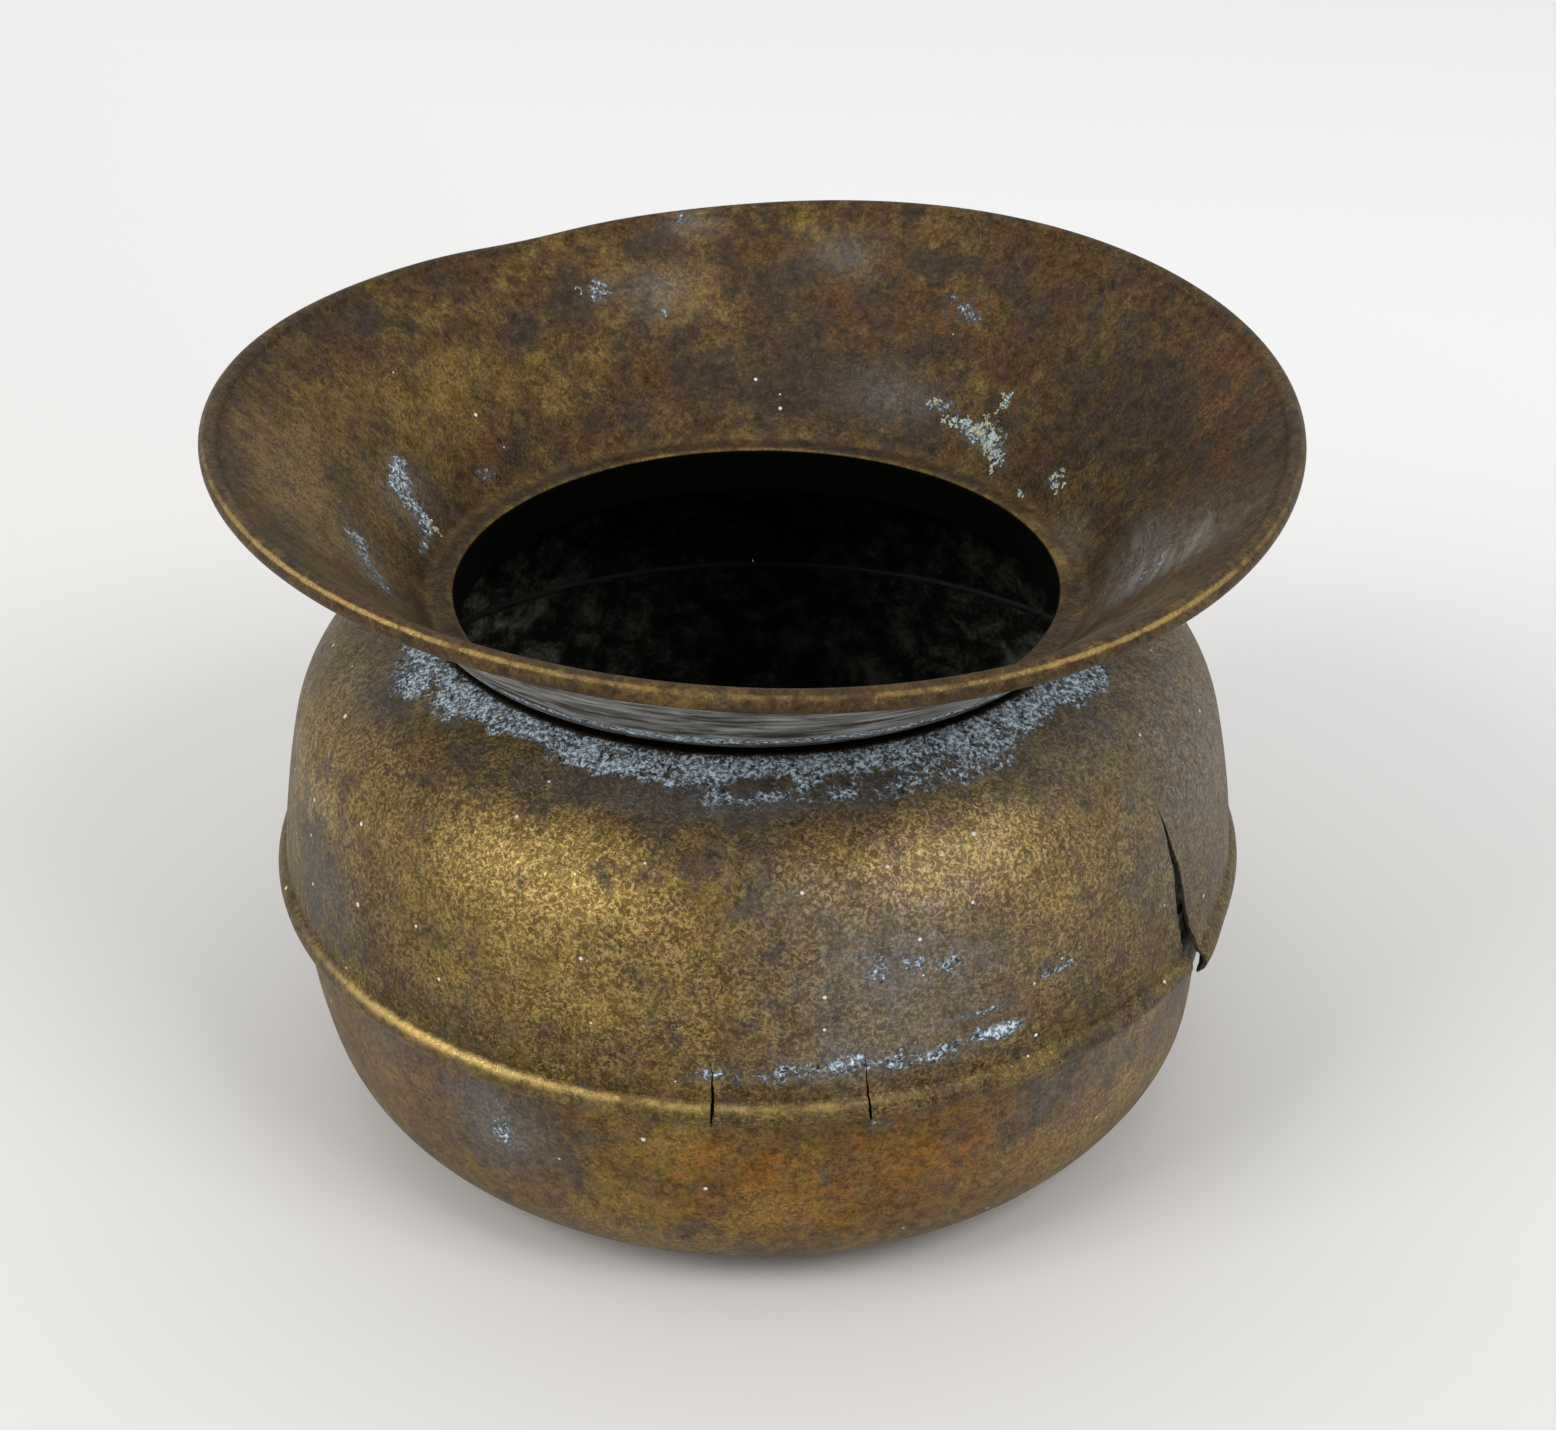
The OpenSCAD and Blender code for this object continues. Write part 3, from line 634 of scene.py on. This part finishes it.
for i in range(1, FILLET_STEPS + 1):
    a = math.radians(foot_slope * i / FILLET_STEPS)
    r, z = LEDGE_END + LEDGE_FILLET_R * math.sin(a), LEDGE_Z + LEDGE_FILLET_R * (1 - math.cos(a))
    funnel_path.append((r, z))
foot = funnel_path[-1]
crease_a = math.radians(90 + rim_slope + CURL_CREASE)
crease = (RIM_R + CURL_R * math.cos(crease_a), RIM_Z + CURL_R * math.sin(crease_a))
chord_slope = math.degrees(math.atan2(crease[1] - foot[1], crease[0] - foot[0]))
flare_r = math.hypot(crease[0] - foot[0], crease[1] - foot[1]) / (2 * math.sin(math.radians(FLARE_TURN / 2)))
on_round(funnel_path, flare_r, 90 + chord_slope + FLARE_TURN / 2, 90 + chord_slope - FLARE_TURN / 2, 1.0)
CURL_ROW = len(funnel_path) - 1
on_round(funnel_path, CURL_R, 90 + rim_slope + CURL_CREASE, 90 + rim_slope + CURL_CREASE - CURL_WRAP, 0.42)


def knocked(r, z, a):
    """The bend that the knock left, as the CAD has it: nothing at the ledge, all of it at the rim. The rim
    leans, rises and falls in lobes of (count, rise, direction), and has one dent at the back."""
    share = (np.maximum(0, r - LEDGE_END) / (RIM_R - LEDGE_END)) ** BEND_GROWTH
    lobes = sum(rise * np.cos(count * (a - math.radians(turn))) for count, rise, turn in RIM_LOBES)
    dent = RIM_DENT * hump(np.degrees(a) % 360, RIM_DENT_DIR, RIM_DENT_SPREAD)
    lift = share * (LEAN_RISE * np.sin(a) + lobes - dent)
    push = share * (RIM_OVAL * np.cos(3 * (a - math.radians(RIM_OVAL_DIR))) - RIM_PUSH * np.sin(a))
    return r + push, z + lift


funnel, row, back = spun_shell("spun_funnel", funnel_path, other_face(funnel_path, -FUNNEL_SHEET), knocked)
row_r, row_z = np.array(funnel_path).T
in_collar = (row_z < LEDGE_Z - 0.6)[row]
curl_turn = np.degrees(np.arctan2(row_z - RIM_Z, row_r - RIM_R))
direction = direction_of(funnel.data)
# Painted highlights, partly real wear: a bright line along the curl's crest, strongest toward the two front
# lamps, and thin bright rings at the throat's lip and the ledge's foot.
toward_lamps = 0.3 + 1.35 * hump(direction, 224, 28) + hump(direction, 308, 24)
wear_and_highlight = (row >= CURL_ROW) * hump(curl_turn, 52, 9.5)[row] * toward_lamps
wear_and_highlight += (0.3 * hump(row_r, THROAT_R + 0.5, 0.5) + 0.15 * hump(row_r, LEDGE_END + 1, 1))[row]
ledge_tarnish = 0.45 * hump(row_r, THROAT_R + 2.4, 1.6)[row]
# The underside next to the crevice with the shoulder and the collar down inside the shoulder are painted
# near-black, as shade.
foot_shade = 0.9 * np.clip((62 - row_r) / 1.5, 0, 1)[row] * back
outside = (1 - back) * (1 - in_collar)
layer(funnel.data, "inside", under=np.maximum(in_collar, foot_shade))
front = 0.5 - 0.5 * np.sin(np.radians(direction))
salted = back * (row <= CURL_ROW) * np.clip((94 - row_r[row]) / 20, 0.15, 1) * (0.45 + 0.55 * front)
# A pale ring of salts on the underside just above the crevice, which also paints the line of light caught
# there.
foot_salts_and_highlight = 0.9 * back * hump(row_r, 63, 1)[row]
layer(funnel.data, "streaks", [
    (338, 78, 121, 9, 14, 0.3), (352, 70, 114, 6, 8, 0.22), (312, 84, 126, 12, 8, 0.2)],
    salted, 1 - in_collar)
layer(funnel.data, "olive", [
    (152, 77.4, 123, 20, 14, 0.9), (135, 71.5, 116.7, 14, 9, 0.6), (98, 79.6, 126.4, 10, 7, 0.55),
    (116, 76, 122, 8, 8, 0.35), (68, 80, 128, 9, 5, 0.4), (34, 81.3, 128.7, 10, 8, 0.35),
    (188, 82, 126, 26, 14, 0.9), (118, 88, 134, 16, 6, 0.35), (172, 70, 114, 16, 10, 0.5),
    (12, 72, 117, 14, 10, 0.3)], 0.02, outside)
layer(funnel.data, "gold", [
    (190, 82, 126, 26, 12, 0.6), (150, 76, 122, 22, 12, 0.3), (188, 66, 110, 20, 6, 0.2),
    (98, 80, 127, 14, 8, 0.15), (8, 88, 134, 12, 10, 0.25), (320, 84, 126, 26, 12, 0.3),
    (225, 84, 126, 24, 10, 0.35)], face=outside)
layer(funnel.data, "wear_and_highlight", [(5, 57.4, 103.4, 7, 1.4, 0.6), (20, 57.6, 103.4, 5, 1.0, 0.4)], wear_and_highlight, outside)
layer(funnel.data, "red", [
    (9, 90, 135.8, 14, 9, 1.1), (350, 80, 125, 16, 12, 0.6), (58, 80, 128, 18, 7, 0.45),
    (20, 76, 122, 12, 10, 0.4), (92, 86, 133, 22, 5, 0.4), (140, 66, 110, 12, 4, 0.4),
    (80, 74, 120, 16, 5, 0.3)], face=outside)
layer(funnel.data, "dark", [
    (102.7, 70, 115.4, 4, 5.5, 0.9), (126, 80.2, 125.8, 6, 4, 0.7), (117.6, 81.4, 127, 5, 4, 0.7),
    (88, 66, 110.6, 16, 6, 0.8), (84, 80, 127, 14, 8, 0.5), (64, 67, 112, 14, 8, 0.8),
    (80, 70, 115, 18, 7, 0.6), (22, 78, 124, 26, 16, 0.6), (138, 66, 110, 7, 3.5, 0.6),
    (62, 87, 134, 22, 5, 0.55), (107, 78, 125, 5, 4, 0.5), (355, 92, 137, 14, 5, 0.5),
    (150, 90, 134, 12, 3.5, 0.5), (350, 70, 114, 14, 8, 0.3), (95, 90, 136, 26, 3, 0.5)],
    0.12 + ledge_tarnish, outside)
layer(funnel.data, "haze", [
    (104, 82, 128, 8, 5, 0.4), (66, 68, 112, 10, 5, 0.4), (98, 92, 138, 6, 3, 0.4),
    (77, 86, 134, 8, 5, 0.3), (342, 72, 117, 14, 14, 0.5), (195, 71, 115.6, 14, 6, 0.4),
    (167, 68, 112.5, 9, 7, 0.45), (12, 62, 105, 8, 4, 0.3), (188, 80, 124, 26, 14, 0.2)], face=outside)
layer(funnel.data, "verdigris", [
    (112.3, 83.4, 129.4, 6, 4.5, 0.55), (161, 71.5, 116.7, 4, 3, 0.5), (165, 70, 115, 5, 4, 0.6),
    (167, 66.7, 111, 5, 4, 0.6), (168.5, 63.6, 107, 5, 3, 0.62), (174, 62.3, 105.6, 4, 1.6, 0.5),
    (145.2, 63.4, 107, 4, 3.4, 0.55), (188, 72.8, 118, 6, 4, 0.42), (194, 71.5, 116.3, 7, 4, 0.48),
    (200, 68.8, 113.4, 7, 4, 0.45), (99, 92.5, 139.2, 5, 3, 0.55), (78, 86, 134, 7, 4.5, 0.45),
    (57, 80.5, 128.3, 7, 6, 0.5), (47, 65.3, 109.8, 6, 3.6, 0.62), (41, 63.8, 107.6, 4.5, 3, 0.58),
    (57, 67.5, 112.5, 5, 2.4, 0.55), (45, 71, 117, 2.4, 3.5, 0.5), (25.8, 64.7, 108.8, 4, 3, 0.6),
    (338, 76, 119, 6, 12, 0.45), (346, 68, 112, 4, 8, 0.45), (104, 78, 125, 5, 4, 0.5),
    (93, 66, 110, 8, 3, 0.3)], foot_salts_and_highlight, 1 - in_collar)
funnel.data.materials.append(aged_brass(
    "funnel_brass", 0.4, brown=(0.085, 0.048, 0.019), olive=(0.178, 0.117, 0.031), gold=(0.43, 0.29, 0.095),
    purple=(0.045, 0.031, 0.021), red=(0.135, 0.050, 0.017), patch=14 * MM, flecked=0.16, pitted=0.12,
    dusty=0.04))
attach(funnel, "root")
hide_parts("funnel")


# ---- Crust
# Pale green and white copper salts that have grown in grains on the funnel's inner wall, most of them in
# one patch near the throat. They are thicker than a stain, so each grain stands up from the brass.
rng = np.random.default_rng(21)
ball = bmesh.new()
bmesh.ops.create_icosphere(ball, subdivisions=1, radius=1)
ball_points = np.array([v.co[:] for v in ball.verts])
ball_faces = np.array([[v.index for v in face.verts] for face in ball.faces])
ball.free()
GRAINS_IN_A_CHAIN = 24
grains = []
for direction, middle_r, across, along, count in (
        (58, 67.5, 1.0, 0.3, 4), (52.3, 66.2, 1.6, 0.4, 10), (48.5, 65.8, 1.6, 0.7, 14),
        (45.1, 65.2, 1.4, 1.4, 20), (42, 64.0, 1.2, 0.9, 12), (45, 71.1, 0.6, 1.2, 4),
        (25.8, 64.7, 1.2, 0.7, 6), (32.3, 60.6, 0.5, 0.3, 2), (166, 64.6, 0.8, 1.8, 6),
        (114, 84.5, 1.2, 0.8, 2)):
    for _ in range(count):
        aside, r = rng.normal(0, across), middle_r + rng.normal(0, along)
        for _ in range(GRAINS_IN_A_CHAIN):
            aside, r = aside + rng.normal(0.02, 0.15), r + rng.normal(0, 0.11)
            a = math.radians(direction) - aside / middle_r
            bent_r, z = knocked(np.array(r), np.interp(r, row_r[:CURL_ROW], row_z[:CURL_ROW]), a)
            bumps = ball_points * rng.uniform(0.8, 1.2, (len(ball_points), 1)) * rng.uniform(0.08, 0.22)
            grains.append(bumps + (bent_r * math.cos(a), bent_r * math.sin(a), z))
mesh = bpy.data.meshes.new("salt_crust")
faces = np.vstack([ball_faces + i * len(ball_points) for i in range(len(grains))])
mesh.from_pydata((np.vstack(grains) * MM).tolist(), [], faces.tolist())
mesh.shade_smooth()
crust = new_object("salt_crust", mesh)
salts, n, skin = new_finish("salt_crust")
place = n.add("ShaderNodeTexCoord", {})["Object"]
pale = n.mix(n.range(n.noise(place, 180, 3.0), 0.44, 0.58), (0.40, 0.48, 0.44), (0.45, 0.43, 0.26))
n.put(skin["Base Color"], n.mix(n.range(n.noise(place, 900, 3.0, 0.6), 0.34, 0.56), (0.17, 0.21, 0.20), pale))
n.put(skin["Roughness"], n.range(n.noise(place, 600, 2.0), 0.3, 0.7, 0.8, 0.95))
mesh.materials.append(salts)
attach(crust, "root")


# ---- Rim wire
# Annealed iron wire that the funnel's edge is curled over to stiffen it. Only its rusty line shows,
# from below, where the curl doesn't quite close.
rust, n, metal = new_finish("rusted_wire")
place = n.add("ShaderNodeTexCoord", {})["Object"]
scale = n.noise(place, 700, 4.0, 0.6)
n.put(metal["Base Color"], n.mix(n.range(scale, 0.4, 0.6), (0.045, 0.035, 0.03), (0.13, 0.06, 0.03)))
n.put(metal["Roughness"], n.range(scale, 0.3, 0.7, 0.6, 0.85))
metal["Metallic"].default_value = 0.4
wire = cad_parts["rim_wire"]
wire.data.materials.clear()
wire.data.materials.append(rust)


# ---- Solder
# Soft solder, run in from inside with a copper bit: one seam under the shoulder's hole and one
# between the bowl's collar and the shoulder. It has gone dull and dark grey.
solder, n, metal = new_finish("dull_solder")
place = n.add("ShaderNodeTexCoord", {})["Object"]
lumps = n.noise(place, 350, 4.0, 0.6, 0.4)
n.put(metal["Base Color"], n.mix(n.range(lumps, 0.35, 0.65), (0.004, 0.004, 0.0036), (0.016, 0.016, 0.014)))
n.put(metal["Roughness"], n.range(lumps, 0.3, 0.7, 0.5, 0.75))
metal["Specular IOR Level"].default_value = 0.2
bump = n.add("ShaderNodeBump", {"Height": lumps, "Strength": 0.6, "Distance": 0.6 * MM})
n.put(metal["Normal"], bump["Normal"])
for seam in ("neck_solder", "waist_solder"):
    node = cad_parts[seam]
    node.data.materials.clear()
    node.data.materials.append(solder)


# ---- Floor and light
# White paper on a table, under a broad soft light from the front left, a weaker one from the front
# right and one from high up behind, in an even white room.
floor_mesh = bpy.data.meshes.new("floor")
FAR = 15
floor_mesh.from_pydata([(-FAR, -FAR, 0), (FAR, -FAR, 0), (FAR, FAR, 0), (-FAR, FAR, 0)], [], [(0, 1, 2, 3)])
floor = new_object("floor", floor_mesh)
paper, n, sheet = new_finish("paper")
place = n.add("ShaderNodeTexCoord", {})["Object"]
x, y, _ = n.add("ShaderNodeSeparateXYZ", {0: place})
# The paper is painted lighter towards the back and the right: painted light, the lamps' falloff across the
# table.
painted_light_falloff = n.sum(n.times(x, 1.3), y, 1.9)
n.put(sheet["Base Color"], n.mix(painted_light_falloff, (0.675, 0.666, 0.648), (0.76, 0.76, 0.76)))
n.put(sheet["Roughness"], n.range(n.noise(place, 700), 0.3, 0.7, 0.85, 0.95))
sheet["Specular IOR Level"].default_value = 0.2
floor_mesh.materials.append(paper)

world = bpy.data.worlds.new("room")
bpy.context.scene.world = world
world.use_nodes = True
glow = world.node_tree.nodes["Background"].inputs
glow["Color"].default_value = (1, 1, 1, 1)
glow["Strength"].default_value = 0.66


def soft_light(name, direction, height, distance, size, power):
    """A square soft light at that direction and height, in degrees, turned to the spittoon."""
    data = bpy.data.lights.new(name, "AREA")
    data.size, data.energy = size, power
    light = new_object(name, data)
    a, e = math.radians(direction), math.radians(height)
    light.location = Vector((math.cos(a) * math.cos(e), math.sin(a) * math.cos(e), math.sin(e))) * distance
    light.rotation_mode = "QUATERNION"
    light.rotation_quaternion = (-light.location).to_track_quat("-Z", "Y")


soft_light("key", 215, 42, 2.6, 1.1, 27)
soft_light("fill", 316, 48, 2.6, 1.0, 24)
soft_light("top", 90, 78, 2.6, 2.0, 11)

bpy.context.scene.view_settings.view_transform = "Standard"
